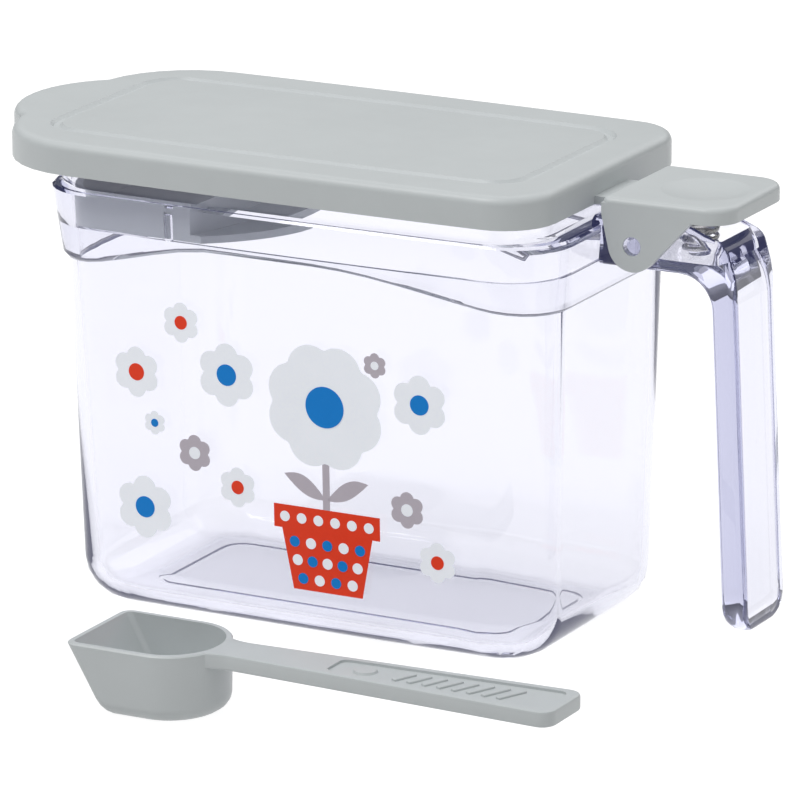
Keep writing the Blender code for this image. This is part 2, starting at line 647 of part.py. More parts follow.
def make_lever(parts, tools, surface):
    """A shallow cap with two ears that snap over the pins."""
    rings = [ring(lever_outline(LEVER_WALL), LEVER_UNDER), ring(lever_outline(LEVER_WALL), LEVER_LOW)]
    rings.append(ring(lever_outline(0.0), LEVER_LOW))
    for i in range(5):
        angle = math.radians(90 * i / 4)
        z = LEVER_TOP - LEVER_EDGE * (1 - math.sin(angle))
        rings.append(ring(lever_outline(LEVER_EDGE * (1 - math.cos(angle))), z))
    lever = add_object("lever", loft(rings), parts, surface, hinge_point())
    window = block(
        (PIN_X - LEVER_BACK - 1 * MM, -EAR_INNER_Y, LEVER_LOW - 1 * MM),
        (PIN_X - LEVER_BACK + LEVER_WALL + 1 * MM, EAR_INNER_Y, LEVER_UNDER),
    )
    combine(lever, window, "DIFFERENCE", "back_window", tools)
    for side, label in ((-1, "near"), (1, "far")):
        ear = side_prism(ear_outline(), side * EAR_INNER_Y, side * LEVER_HALF_Y)
        combine(lever, ear, "UNION", f"{label}_ear", tools)
        rail_y = sorted((side * (TONGUE_WIDTH / 2 + TOUCH), side * (TONGUE_WIDTH / 2 + TOUCH + 1.2 * MM)))
        rail = block(
            (PIN_X - LEVER_BACK + 0.6 * MM, rail_y[0], LID_LOW + 0.6 * MM),
            (PIN_X + TONGUE_END - 0.8 * MM, rail_y[1], LEVER_UNDER + 0.6 * MM),
        )
        combine(lever, rail, "UNION", f"{label}_rail", tools)
    bore = cylinder(PIN_RADIUS + PIN_CLEARANCE, -LEVER_HALF_Y - MM, LEVER_HALF_Y + MM, PIN_X, PIN_Z, 28)
    combine(lever, bore, "DIFFERENCE", "pin_bore", tools)
    post = upright_post(SPRING_X, LEVER_UNDER - POST_HEIGHT + 0.4 * MM, LEVER_UNDER + 0.5 * MM)
    combine(lever, post, "UNION", "spring_post", tools)
    ball = bmesh.new()
    bmesh.ops.create_uvsphere(ball, u_segments=160, v_segments=160, radius=DISH_RADIUS)
    far_below = [v for v in ball.verts if v.co.z > 14 * MM - DISH_RADIUS]
    bmesh.ops.delete(ball, geom=far_below, context="VERTS")
    bmesh.ops.contextual_create(ball, geom=[e for e in ball.edges if e.is_boundary])
    bmesh.ops.recalc_face_normals(ball, faces=ball.faces)
    dish_x = PIN_X + LEVER_FRONT - DISH_SETBACK
    bmesh.ops.translate(ball, vec=(dish_x, 0, LEVER_TOP - DISH_DEPTH + DISH_RADIUS), verts=ball.verts)
    combine(lever, ball, "DIFFERENCE", "thumb_dish", tools)
    return lever


# ---------------------------------------------------------------- spring


def make_spring(parts):
    """A compression spring with closed end turns, standing in the arm's pocket."""
    low = POCKET_FLOOR + TOUCH + SPRING_WIRE / 2
    high = LEVER_UNDER - TOUCH - SPRING_WIRE / 2
    per_turn = 16
    closed = 0.9  # turns at each end that lie almost flat
    turns = SPRING_TURNS + 2 * closed
    flat_rise = SPRING_WIRE * 1.15 * closed
    curve = bpy.data.curves.new("spring", "CURVE")
    curve.dimensions = "3D"
    curve.bevel_depth = SPRING_WIRE / 2
    curve.bevel_resolution = 2
    curve.use_fill_caps = True
    count = int(turns * per_turn) + 1
    spline = curve.splines.new("POLY")
    spline.points.add(count - 1)
    for i in range(count):
        turn = turns * i / (count - 1)
        if turn < closed:
            z = low + flat_rise * turn / closed
        elif turn > turns - closed:
            z = high - flat_rise * (turns - turn) / closed
        else:
            share = (turn - closed) / (turns - 2 * closed)
            z = low + flat_rise + (high - low - 2 * flat_rise) * share
        angle = 2 * math.pi * turn
        x = SPRING_X + SPRING_RADIUS * math.cos(angle)
        spline.points[i].co = (x, SPRING_RADIUS * math.sin(angle), z, 1.0)
    surface = plastic("spring_steel", (0.62, 0.61, 0.60), 0.22, metallic=1.0)
    curve.materials.append(surface)
    obj = bpy.data.objects.new("spring", curve)
    parts.objects.link(obj)
    return obj


# ---------------------------------------------------------------- leveller


def mouth_part(inset, right):
    """The mouth's outline moved in by inset, cut off straight at X = right."""
    box = centred_box(MOUTH_HALF_X - inset, MOUTH_HALF_Y - inset, MOUTH_RADIUS - inset, BODY_BOW)
    return [(x, y) for x, y in box if x < right - MM]


def with_edge(points, inset, edge):
    """Closes a cut-off mouth outline with the points of its right-hand edge."""
    half_y = MOUTH_HALF_Y + BODY_BOW * 0.8 - inset
    return points + [(x, y * half_y) for x, y in edge]


def make_leveller(parts, tools, surface):
    """A tray that rests on the shoulder; its plate runs on past the cross wall as the levelling edge."""
    gap = LEVELLER_CLEARANCE
    side_x = LEVELLER_RIGHT + TONGUE_EDGE_SIDE
    bulge = TONGUE_EDGE_MIDDLE - TONGUE_EDGE_SIDE
    edge = [(side_x + bulge * (1 - (i / 8 - 1) ** 2), i / 8 - 1) for i in range(17)]
    plate = prism(with_edge(mouth_part(gap, side_x), gap, edge), LEVELLER_LOW, LEVELLER_LOW + LEVELLER_PLATE)
    leveller = add_object("leveller", plate, parts, surface)
    straight = [(LEVELLER_RIGHT, -1), (LEVELLER_RIGHT, 1)]
    walls = prism(
        with_edge(mouth_part(gap, LEVELLER_RIGHT), gap, straight),
        LEVELLER_LOW + 0.5 * MM,
        LEVELLER_LOW + LEVELLER_HEIGHT,
    )
    combine(leveller, walls, "UNION", "walls", tools)
    inside_x = LEVELLER_RIGHT - LEVELLER_WALL - 0.4 * MM
    inset = gap + LEVELLER_WALL
    hollow = prism(
        with_edge(mouth_part(inset, inside_x), inset, [(inside_x, -1), (inside_x, 1)]),
        LEVELLER_LOW + LEVELLER_PLATE,
        LEVELLER_LOW + LEVELLER_HEIGHT + MM,
    )
    combine(leveller, hollow, "DIFFERENCE", "hollow", tools)
    slot_x = LEVELLER_RIGHT - RIB_SETBACK
    for side, label in ((-1, "near"), (1, "far")):
        depth_y = side * (MOUTH_HALF_Y - gap - SLOT_DEPTH + BODY_BOW * 0.7)
        slot_y = sorted((depth_y, side * (MOUTH_HALF_Y + 2 * MM)))
        slot = block(
            (slot_x - SLOT_WIDTH / 2, slot_y[0], LEVELLER_LOW - MM),
            (slot_x + SLOT_WIDTH / 2, slot_y[1], SHOULDER_Z + RIB_HEIGHT + 0.6 * MM),
        )
        combine(leveller, slot, "DIFFERENCE", f"{label}_slot", tools)
    return leveller


# ---------------------------------------------------------------- scoop


def bowl_outline(share, inset=0.0):
    """The bowl's outline from its foot (share 0) to its rim (share 1): flat slanted nose, round back."""
    left = -BOWL_LENGTH / 2 + BOWL_NOSE_SLANT * (1 - share) + inset
    right = BOWL_LENGTH / 2 - BOWL_DRAFT * (1 - share) - inset
    half_y = BOWL_WIDTH / 2 - BOWL_DRAFT * (1 - share) - inset
    round_x = half_y * 0.92
    corner = max(BOWL_CORNER - inset, 0.4 * MM)
    points = [
        (right - round_x + round_x * math.cos(a), half_y * math.sin(a))
        for a in (math.radians(-90 + 180 * i / 20) for i in range(21))
    ]
    points += bowed_side(right - round_x, left + corner, half_y, 0.0, 4)
    points += arc((left + corner, half_y - corner), corner, 90, 180, 5)
    points += arc((left + corner, corner - half_y), corner, 180, 270, 5)
    points += bowed_side(left + corner, right - round_x, -half_y, 0.0, 4)
    return points


def bowl_rings():
    rings = []
    for i in range(5):
        angle = math.radians(90 * i / 4)
        rise = BOWL_FOOT * (1 - math.cos(angle))
        rings.append(ring(bowl_outline(rise / BOWL_HEIGHT, BOWL_FOOT * (1 - math.sin(angle))), rise))
    edge = 0.3 * MM
    rings += [ring(bowl_outline(1.0, 0.0), BOWL_HEIGHT - edge), ring(bowl_outline(1.0, edge), BOWL_HEIGHT)]
    rings.append(ring(bowl_outline(1.0, BOWL_WALL), BOWL_HEIGHT))
    inner_foot = BOWL_FOOT - 0.6 * MM
    for i in range(5):
        angle = math.radians(90 * i / 4)
        z = BOWL_FLOOR + inner_foot * (1 - math.sin(angle))
        rings.append(ring(bowl_outline(z / BOWL_HEIGHT, BOWL_WALL + inner_foot * (1 - math.cos(angle))), z))
    return rings


def stem_outline(trim):
    """The scoop's handle from above: it grows out of the bowl's round wall, narrow there and wide at its end."""
    inset = 0.75 * MM
    depth = BOWL_WIDTH / 2 - inset
    reach = 0.92 * depth
    end = SCOOP_LENGTH - BOWL_LENGTH / 2 - trim
    neck, wide, r = STEM_NECK / 2 - trim, STEM_END / 2 - trim, STEM_CORNER - trim
    start = neck + 1.5 * MM
    root = []
    for i in range(7):
        y = start * (1 - i / 3)
        root.append((BOWL_LENGTH / 2 - inset - reach * (1 - math.sqrt(1 - (y / depth) ** 2)), y))
    flare = [(root[0][0] + 5.5 * MM * i / 4, neck + 1.5 * MM * (1 - i / 4) ** 2) for i in range(1, 5)]
    points = root + [(x, -y) for x, y in flare]
    points += arc((end - r, r - wide), r, 270, 360, 5)
    points += arc((end - r, wide - r), r, 0, 90, 5)
    return points + list(reversed(flare))


def recess_outline(start, end):
    """The shallow recess on the handle, which narrows with it towards the bowl."""
    half = STEM_END / 2 - STEM_RECESS_MARGIN
    narrowing = (STEM_END - STEM_NECK) / 2 / (end - BOWL_LENGTH / 2)
    box = rounded_box(start, end, half, 2 * MM, 2 * MM)
    return [(x, y * (half - narrowing * (end - x)) / half) for x, y in box]


def make_scoop(parts, tools, surface):
    scoop = add_object("scoop", loft(bowl_rings()), parts, surface)
    scoop.location = (SCOOP_OFFSET, SCOOP_Y, 0)
    low, high, edge = BOWL_HEIGHT - STEM_THICKNESS, BOWL_HEIGHT, STEM_EDGE
    levels = ((edge, low), (0.3 * edge, low + 0.3 * edge), (0.0, low + edge))
    levels += ((0.0, high - edge), (0.3 * edge, high - 0.3 * edge), (edge, high))
    stem = loft([ring(stem_outline(trim), z) for trim, z in levels])
    tools_for_scoop = [combine(scoop, stem, "UNION", "stem", tools)]
    end = SCOOP_LENGTH - BOWL_LENGTH / 2 - STEM_RECESS_END
    start = end - STEM_RECESS_LENGTH
    recess = prism(recess_outline(start, end), BOWL_HEIGHT - STEM_RECESS_DEPTH, BOWL_HEIGHT + MM)
    tools_for_scoop.append(combine(scoop, recess, "DIFFERENCE", "stem_recess", tools))
    for tool in tools_for_scoop:
        tool.location = scoop.location
    return scoop


# ---------------------------------------------------------------- assembly


def main():
    for obj in list(bpy.data.objects):
        bpy.data.objects.remove(obj, do_unlink=True)
    parts = bpy.data.collections.new("formula_dispenser")
    tools = bpy.data.collections.new("cutters")
    for collection in (parts, tools):
        bpy.context.scene.collection.children.link(collection)
    grey = plastic("grey_pp", (0.50, 0.53, 0.54), 0.42)
    make_canister(parts, tools)
    make_lid(parts, tools, grey)
    make_lid_seal(parts)
    make_lever(parts, tools, grey)
    make_spring(parts)
    make_leveller(parts, tools, grey)
    make_scoop(parts, tools, grey)


main()
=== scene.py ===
"""Clear formula canister with a thumb-lever lid and a scoop: finishes, printed flowers and studio."""

import math

import bmesh
import bpy
from mathutils import Matrix, Vector


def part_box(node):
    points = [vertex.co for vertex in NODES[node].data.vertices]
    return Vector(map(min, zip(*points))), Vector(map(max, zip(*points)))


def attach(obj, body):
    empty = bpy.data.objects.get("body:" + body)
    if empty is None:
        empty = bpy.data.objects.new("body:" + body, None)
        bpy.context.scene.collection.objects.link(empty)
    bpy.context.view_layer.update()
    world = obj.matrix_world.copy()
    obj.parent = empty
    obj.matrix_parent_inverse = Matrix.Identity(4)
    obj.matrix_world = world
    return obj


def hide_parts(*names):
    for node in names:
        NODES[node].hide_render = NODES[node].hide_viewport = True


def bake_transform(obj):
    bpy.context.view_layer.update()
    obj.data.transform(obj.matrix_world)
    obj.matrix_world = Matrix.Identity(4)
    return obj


bl_info = {
    "name": "Formula Canister Finishes",
    "version": (1, 0, 0),
    "blender": (4, 5, 0),
    "location": "View3D > Sidebar > Canister",
    "description": "Gives the canister its clear and satin mouldings, its printed flowers and a studio",
    "category": "Object",
}

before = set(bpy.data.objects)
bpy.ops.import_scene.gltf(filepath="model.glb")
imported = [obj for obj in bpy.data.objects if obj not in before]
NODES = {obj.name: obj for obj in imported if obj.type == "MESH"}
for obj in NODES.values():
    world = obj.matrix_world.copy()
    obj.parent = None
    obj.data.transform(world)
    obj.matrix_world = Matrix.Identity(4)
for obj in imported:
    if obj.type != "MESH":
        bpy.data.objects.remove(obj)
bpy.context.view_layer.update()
MM = 0.001
SCOOP_LOW, SCOOP_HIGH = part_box("scoop")
SPRING_LOW, SPRING_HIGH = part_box("spring")

# How a moulding's facets are merged and smoothed.
WELD_GAP = 0.002 * MM
SLIVER = 0.001 * MM
SHARP_ANGLE = math.radians(33)
BIG_FACE_WEIGHT = 60

# The front wall that carries the prints: how far forward its foot is, how it leans out and how it bows.
FRONT_FOOT = 30.7 * MM
FRONT_LEAN = 0.025
FRONT_BOW = 0.5 * MM
FRONT_HALF_WIDTH = 41.0 * MM

# Inks lie this far off the wall, and each layer of ink is this many thicknesses above the one before.
PRINT_GAP = 0.06 * MM
LAYER_STEP = 1.5
INKS = ("pale", "blue", "red", "mauve")

# A petal is a round of this radius about a point this far out, as shares of the flower's radius.
PETAL_MIDDLE = 0.60
PETAL_ROUND = 0.40
NOTCH_SHARE = 0.98
SIDES_PER_PETAL = 14

PETALS = 6
EYE_SHARE = 0.34
TURN_PER_FLOWER = 0.4
FLOWERS = (
    # x, z, radius in mm, petals, centre
    (-24.3, 63.4, 4.2, "pale", "red"),
    (-35.0, 51.7, 5.3, "pale", "red"),
    (-14.0, 53.8, 6.6, "pale", "blue"),
    (-31.0, 41.5, 2.5, "pale", "blue"),
    (-21.8, 36.4, 3.8, "mauve", "pale"),
    (-12.0, 30.5, 4.2, "pale", "red"),
    (-33.8, 23.3, 6.6, "pale", "blue"),
    (19.7, 60.1, 2.6, "mauve", "pale"),
    (29.5, 53.2, 6.1, "pale", "blue"),
    (26.4, 31.0, 3.8, "mauve", "pale"),
    (33.0, 20.9, 4.2, "pale", "red"),
)

# The daisy in its pot, in millimetres: across from its middle line, and up from the canister's foot.
MOTIF_X = 8.3
STEM_HALF, STEM_FOOT, STEM_TOP = 0.8, 27.0, 46.0
LEAF_FOOT, LEAF_REACH, LEAF_RISE = 30.5, 9.5, 4.6
LEAF_TOP_BULGE, LEAF_LOW_BULGE, LEAF_STEPS = 2.2, 1.6, 12
DAISY_HEIGHT, DAISY_RADIUS, DAISY_EYE = 50.0, 13.2, 4.3
DAISY_PETALS, DAISY_TURN, DAISY_EYE_SIDES = 8, 0.2, 40
POT_FOOT, POT_TOP, POT_FOOT_HALF, POT_TOP_HALF = 11.0, 24.5, 7.8, 10.4
BAND_FOOT, BAND_TOP, BAND_HALF = 23.6, 28.5, 12.0
POT_SPOT_RADIUS, BAND_SPOT_RADIUS, SPOT_SIDES = 1.15, 1.1, 20
POT_SPOTS = ((13.4, 4, 5.6), (17.2, 5, 6.8), (21.0, 5, 7.4))  # height, count, half width
BAND_SPOTS = (26.05, 6, 9.5)

# The relief in the recess of the scoop's handle: places are back from its tip, depths below its top.
BAR_COUNT, BAR_LEAN = 8, math.radians(-24)
FIRST_BAR, BAR_PITCH = 12 * MM, 3.3 * MM
BAR_WIDTH, BAR_LENGTH, BAR_SHORTENING, BAR_ROUND = 1.3 * MM, 6.8 * MM, 0.2 * MM, 0.22 * MM
PIP_PLACE, PIP_FOOT_RADIUS, PIP_TOP_RADIUS = 43.5 * MM, 2.5 * MM, 2.2 * MM
RELIEF_TOP, RELIEF_FOOT = 0.06 * MM, 0.56 * MM

FLOOR_RADIUS = 6.0
FLOOR_DROP = 0.1 * MM
FLOOR_SHED_SHARE = 0.47  # of the floor's own light, what other surfaces get
ZENITH_FROM = 0.8  # the height, of 1, from which the sky is at its brightest

LIGHT_AIM = Vector((0, 0, 0.05))
KEY_PLACE, KEY_SIZE = (-0.40, -0.60, 1.45), (0.6, 0.6)
BACK_PLACE, BACK_SIZE, BACK_SHARE = (0.5, 1.6, 1.0), (1.4, 0.7), 0.4

SENSOR_WIDTH, LENS = 36.0, 315.4  # in the camera's own millimetres
CAMERA_MIDDLE = Vector((0, 0, 0.04485))
AIM_RIGHT, AIM_DOWN = 6.97 * MM, 2.6 * MM
CAMERA_ROLL = math.radians(-0.22)
NEAREST, FARTHEST = 0.05, 30.0


# ------------------------------------------------------------------ shader nodes


class Socket:
    """A node's output that takes part in Python arithmetic."""

    def __init__(self, shader, link):
        self.shader = shader
        self.link = link

    def maths(self, operation, *values):
        return self.shader.node("ShaderNodeMath", {"operation": operation}, values)

    def __add__(self, other):
        return self.maths("ADD", self, other)

    __radd__ = __add__

    def __sub__(self, other):
        return self.maths("SUBTRACT", self, other)

    def __rsub__(self, other):
        return self.maths("SUBTRACT", other, self)

    def __mul__(self, other):
        return self.maths("MULTIPLY", self, other)

    __rmul__ = __mul__

    def clamped(self):
        return self.maths("MINIMUM", self.maths("MAXIMUM", self, 0.0), 1.0)


class Shader:
    """A material being built from nodes."""

    def __init__(self, name):
        self.material = bpy.data.materials.new(name)
        self.material.use_nodes = True
        self.tree = self.material.node_tree
        self.tree.nodes.clear()
        self.output = self.tree.nodes.new("ShaderNodeOutputMaterial")

    def node(self, kind, settings=None, values=(), out=0):
        """Adds a node: its settings first, then its sockets by name or in order. Returns one output."""
        made = self.tree.nodes.new(kind)
        for key, value in (settings or {}).items():
            setattr(made, key, value)
        pairs = values.items() if isinstance(values, dict) else enumerate(values)
        for key, value in pairs:
            if isinstance(value, Socket):
                self.tree.links.new(value.link, made.inputs[key])
            else:
                made.inputs[key].default_value = value
        return Socket(self, made.outputs[out])

    def place(self, scale):
        """Object coordinates in metres, stretched."""
        coords = self.node("ShaderNodeTexCoord", out="Object")
        return self.node("ShaderNodeMapping", {}, {"Vector": coords, "Scale": scale})

    def noise(self, scale, detail=2.0, roughness=0.5, stretch=(1.0, 1.0, 1.0)):
        """Soft noise from 0 to 1; scale is in features per metre."""
        values = {"Vector": self.place(stretch), "Scale": scale}
        values.update({"Detail": detail, "Roughness": roughness})
        return self.node("ShaderNodeTexNoise", {"noise_dimensions": "3D"}, values)

    def mix(self, factor, first, second):
        """A blend of two colours."""
        settings = {"data_type": "RGBA", "clamp_factor": True}
        return self.node("ShaderNodeMix", settings, {"Factor": factor, 6: first, 7: second}, out=2)

    def bump(self, height, distance, strength):
        values = {"Height": height, "Distance": distance, "Strength": strength}
        return self.node("ShaderNodeBump", {}, values)

    def surface(self, **values):
        """The Principled shader, with its sockets named with underscores for spaces."""
        named = {key.replace("_", " "): value for key, value in values.items()}
        shader = self.node("ShaderNodeBsdfPrincipled", {}, named)
        self.tree.links.new(shader.link, self.output.inputs["Surface"])
        return shader

    def let_light_through(self, shader):
        """Lets light from the lamps and the sky straight on, so that nothing behind is left in shade."""
        clear = self.node("ShaderNodeBsdfTransparent", {}, {"Color": (1.0, 1.0, 1.0, 1.0)})
        self.mix_surfaces(self.node("ShaderNodeLightPath", out="Is Shadow Ray"), shader, clear)

    def mix_surfaces(self, factor, first, second):
        mixed = self.node("ShaderNodeMixShader", {}, (factor, first, second))
        self.tree.links.new(mixed.link, self.output.inputs["Surface"])

    def volume(self, colour, density):
        absorb = self.node("ShaderNodeVolumeAbsorption", {}, {"Color": colour, "Density": density})
        self.tree.links.new(absorb.link, self.output.inputs["Volume"])


def rgba(colour, gain=1.0):
    return (*(min(c * gain, 1.0) for c in colour[:3]), 1.0)


def clear_moulding(settings):
    """Clear, faintly blue resin: glossy, with the slow ripple that a mould leaves, and a faint painted blue
    glow of its own.
    """
    shader = Shader("Clear Moulded Resin")
    ripple = shader.noise(28.0, detail=1.0, roughness=0.4)
    haze = shader.noise(160.0, detail=3.0, roughness=0.6)
    resin = shader.surface(
        Base_Color=rgba(settings.clarity),
        Roughness=0.012 + 0.02 * haze * haze,
        Transmission_Weight=1.0,
        IOR=settings.ior,
        Normal=shader.bump(ripple, 0.12 * MM, 0.35),
        # Painted glow: the resin gives out a faint blue light of its own, which stands in for the blue that
        # thick resin shows.
        Emission_Color=rgba(settings.painted_glow),
        Emission_Strength=settings.painted_glow_strength,
    )
    shader.let_light_through(resin)
    shader.volume(rgba(settings.tint), settings.tint_density)
    return shader.material


def satin_moulding(name, settings, gain):
    """Opaque moulded plastic with a fine spark-eroded skin and a slow drift in tone."""
    shader = Shader(name)
    drift = shader.noise(22.0)
    cloud = shader.noise(180.0)
    grain = shader.noise(2600.0, roughness=0.55)
    pores = shader.noise(900.0, detail=3.0, roughness=0.6)
    tone = (0.65 * drift + 0.35 * cloud - 0.28) * 2.2
    deep, light = (rgba(settings.colour, gain * share) for share in (0.965, 1.03))
    colour = shader.mix(tone.clamped(), deep, light)
    shader.surface(
        Base_Color=colour,
        Roughness=settings.roughness + 0.09 * (grain - 0.5) + 0.06 * (drift - 0.5),
        Specular_IOR_Level=0.5,
        Normal=shader.bump(0.6 * grain + 0.4 * pores, 0.03 * MM, 0.5),
    )
    return shader.material


def silicone():
    """The seal's rubber: milky, dull and very slightly clouded."""
    shader = Shader("Milky Silicone")
    cloud = shader.noise(300.0)
    shader.surface(
        Base_Color=shader.mix(cloud, (0.80, 0.81, 0.80, 1.0), (0.87, 0.88, 0.88, 1.0)),
        Roughness=0.48 + 0.1 * (cloud - 0.5),
        Normal=shader.bump(shader.noise(2200.0), 0.02 * MM, 0.5),
    )
    return shader.material


def drawn_steel():
    """Spring wire: bright metal with fine lines drawn along it and duller patches."""
    shader = Shader("Drawn Spring Steel")
    lines = shader.noise(9000.0, roughness=0.6, stretch=(0.35, 0.35, 1.0))
    patches = shader.noise(700.0, detail=3.0, roughness=0.6)
    shader.surface(
        Base_Color=shader.mix(patches, (0.44, 0.43, 0.42, 1.0), (0.68, 0.67, 0.65, 1.0)),
        Metallic=1.0,
        Roughness=0.17 + 0.22 * patches,
        Normal=shader.bump(lines, 0.01 * MM, 0.6),
    )
    return shader.material


def ink(name, colour):
    """Screen-printed ink: flat, slightly mottled, a little raised and semi-gloss, with a faint painted glow
    that stands in for light shining through it from behind.
    """
    shader = Shader(name)
    mottle = shader.noise(1500.0, detail=3.0, roughness=0.6)
    drift = shader.noise(140.0)
    tone = (0.5 * mottle + 0.5 * drift - 0.25) * 2.0
    shade = shader.mix(tone.clamped(), rgba(colour, 0.955), rgba(colour, 1.02))
    shader.surface(
        Base_Color=shade,
        # Painted glow: the ink gives out a little light of its own in its own colour, in place of light
        # shining through it from behind.
        Emission_Color=shade,
        Emission_Strength=0.18,
        Roughness=0.36 + 0.12 * (mottle - 0.5),
        Specular_IOR_Level=0.2,
        Normal=shader.bump(mottle, 0.01 * MM, 0.4),
    )
    return shader.material


# ------------------------------------------------------------------ building meshes


def new_piece(name, bm, body, materials):
    """Links a finished bmesh as a piece that rides on a CAD body; a piece given a pair of bodies only has
    its transform baked in.
    """
    mesh = bpy.data.meshes.new(name)
    bm.to_mesh(mesh)
    bm.free()
    for material in materials:
        mesh.materials.append(material)
    piece = bpy.data.objects.new(name, mesh)
    bpy.context.scene.collection.objects.link(piece)
    if isinstance(body, dict):
        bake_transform(piece)
    else:
        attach(piece, body)
    return piece


def added(bm, before):
    """The vertices made since the set before was taken."""
    return [v for v in bm.verts if v not in before]


def paint(bm, verts, colour):
    """Gives the faces between these vertices one of the inks."""
    chosen = set(verts)
    for face in bm.faces:
        if all(v in chosen for v in face.verts):
            face.material_index = INKS.index(colour)


def on_front(x, z, lift):
    """A point that stands off the canister's front wall, which leans out and bows a little."""
    bow = FRONT_BOW * max(1.0 - (x / FRONT_HALF_WIDTH) ** 2, 0.0)
    return Vector((x, -FRONT_FOOT - FRONT_LEAN * z - bow - lift, z))


def layer(settings, number):
    """How far off the wall a layer of ink lies, counted from 0."""
    return PRINT_GAP + number * LAYER_STEP * settings.lift


# ------------------------------------------------------------------ settings


class ClearSettings(bpy.types.PropertyGroup):
    clarity: bpy.props.FloatVectorProperty(
        name="Clarity",
        description="Colour of light passing through the surface",
        subtype="COLOR",
        size=3,
        default=(0.957, 0.956, 0.960),
    )
    tint: bpy.props.FloatVectorProperty(
        name="Tint",
        description="Tint seen through thick resin",
        subtype="COLOR",
        size=3,
        default=(0.52, 0.53, 0.72),
    )
    tint_density: bpy.props.FloatProperty(
        name="Tint Density", description="How quickly thickness colours the resin", default=60.0, min=0.0
    )
    ior: bpy.props.FloatProperty(
        name="IOR", description="How strongly the resin bends light", default=1.47, min=1.0
    )
    # The glow below is a painted glow: a faint blue light that the resin gives out of its own, evenly over
    # its surface, not light trapped in thick resin.
    painted_glow: bpy.props.FloatVectorProperty(
        name="Glow",
        description="Deep blue left where light is trapped in thick resin",
        subtype="COLOR",
        size=3,
        default=(0.13, 0.14, 0.33),
    )
    painted_glow_strength: bpy.props.FloatProperty(
        name="Glow Strength", description="How strong that deep blue is", default=0.05, min=0.0
    )


class SatinSettings(bpy.types.PropertyGroup):
    colour: bpy.props.FloatVectorProperty(
        name="Colour",
        description="Colour of the opaque mouldings",
        subtype="COLOR",
        size=3,
        default=(0.540, 0.572, 0.580),
    )
    roughness: bpy.props.FloatProperty(
        name="Roughness",
        description="How matt the satin skin is",
        subtype="FACTOR",
        default=0.40,
        min=0.05,
        max=1.0,
    )


class PrintSettings(bpy.types.PropertyGroup):
    pale: bpy.props.FloatVectorProperty(
        name="Pale", description="Petal ink", subtype="COLOR", size=3, default=(0.83, 0.855, 0.91)
    )
    blue: bpy.props.FloatVectorProperty(
        name="Blue", description="Blue ink", subtype="COLOR", size=3, default=(0.001, 0.18, 0.55)
    )
    red: bpy.props.FloatVectorProperty(
        name="Red", description="Red ink", subtype="COLOR", size=3, default=(0.70, 0.042, 0.012)
    )
    mauve: bpy.props.FloatVectorProperty(
        name="Mauve", description="Mauve-grey ink", subtype="COLOR", size=3, default=(0.44, 0.40, 0.45)
    )
    lift: bpy.props.FloatProperty(
        name="Lift", description="Thickness of one layer of ink", default=0.03 * MM, unit="LENGTH"
    )


class StudioSettings(bpy.types.PropertyGroup):
    floor: bpy.props.FloatVectorProperty(
        name="Floor", description="Floor colour", subtype="COLOR", size=3, default=(0.22, 0.22, 0.22)
    )
    key: bpy.props.FloatProperty(
        name="Key", description="Power of the overhead light", default=8.0, unit="POWER"
    )
    floor_glow: bpy.props.FloatProperty(
        name="Floor Glow", description="Light the floor gives by itself", default=0.90
    )
    zenith: bpy.props.FloatProperty(
        name="Zenith", description="Strength of the light from overhead", default=0.90
    )
    horizon: bpy.props.FloatProperty(
        name="Horizon", description="Strength of the light from low down", default=0.12
    )
    azimuth: bpy.props.FloatProperty(
        name="Azimuth",
        description="Where the camera stands round the object",
        default=math.radians(28.40),
        unit="ROTATION",
    )
    elevation: bpy.props.FloatProperty(
        name="Elevation",
        description="How high the camera looks from",
        default=math.radians(15.89),
        unit="ROTATION",
    )
    distance: bpy.props.FloatProperty(
        name="Distance", description="From the camera to the object's middle", default=1.4241, unit="LENGTH"
    )


# ------------------------------------------------------------------ pieces


class CANISTER_OT_clear(bpy.types.Operator):
    """Make the canister in clear resin, with its curves smoothed"""

    bl_idname = "canister.clear_moulding"
    bl_label = "Clear Moulding"

    def execute(self, context):
        resin = clear_moulding(context.scene.clear_settings)
        moulding("canister", "clear_canister", "container", resin)
        return {"FINISHED"}


class CANISTER_OT_satin(bpy.types.Operator):
    """Make the lid, lever, leveller and scoop in satin plastic"""

    bl_idname = "canister.satin_mouldings"
    bl_label = "Satin Mouldings"

    def execute(self, context):
        settings = context.scene.satin_settings
        for node, body, gain in SATIN_PIECES:
            satin = satin_moulding(f"Satin {node.title()}", settings, gain)
            moulding(node, f"satin_{node}", body, satin)
        return {"FINISHED"}


class CANISTER_OT_fittings(bpy.types.Operator):
    """Make the lid's silicone seal and the lever's steel spring"""

    bl_idname = "canister.fittings"
    bl_label = "Seal and Spring"

    def execute(self, context):
        moulding("lid_seal", "silicone_seal", "lid_and_lever", silicone())
        middle = (SPRING_LOW + SPRING_HIGH) / 2
        ends = [(middle.x, middle.y, z) for z in (SPRING_LOW.z, SPRING_HIGH.z)]
        pressed = {"a": "container", "b": "lid_and_lever", "start": ends[0], "end": ends[1]}
        moulding("spring", "coil_spring", pressed, drawn_steel())
        return {"FINISHED"}


# Node, the body it is on and how light its plastic is.
SATIN_PIECES = (
    ("lid", "lid_and_lever", 1.0),
    ("lever", "lid_and_lever", 1.0),
    ("leveller", "container", 0.98),
    ("scoop", "scoop", 1.0),
)


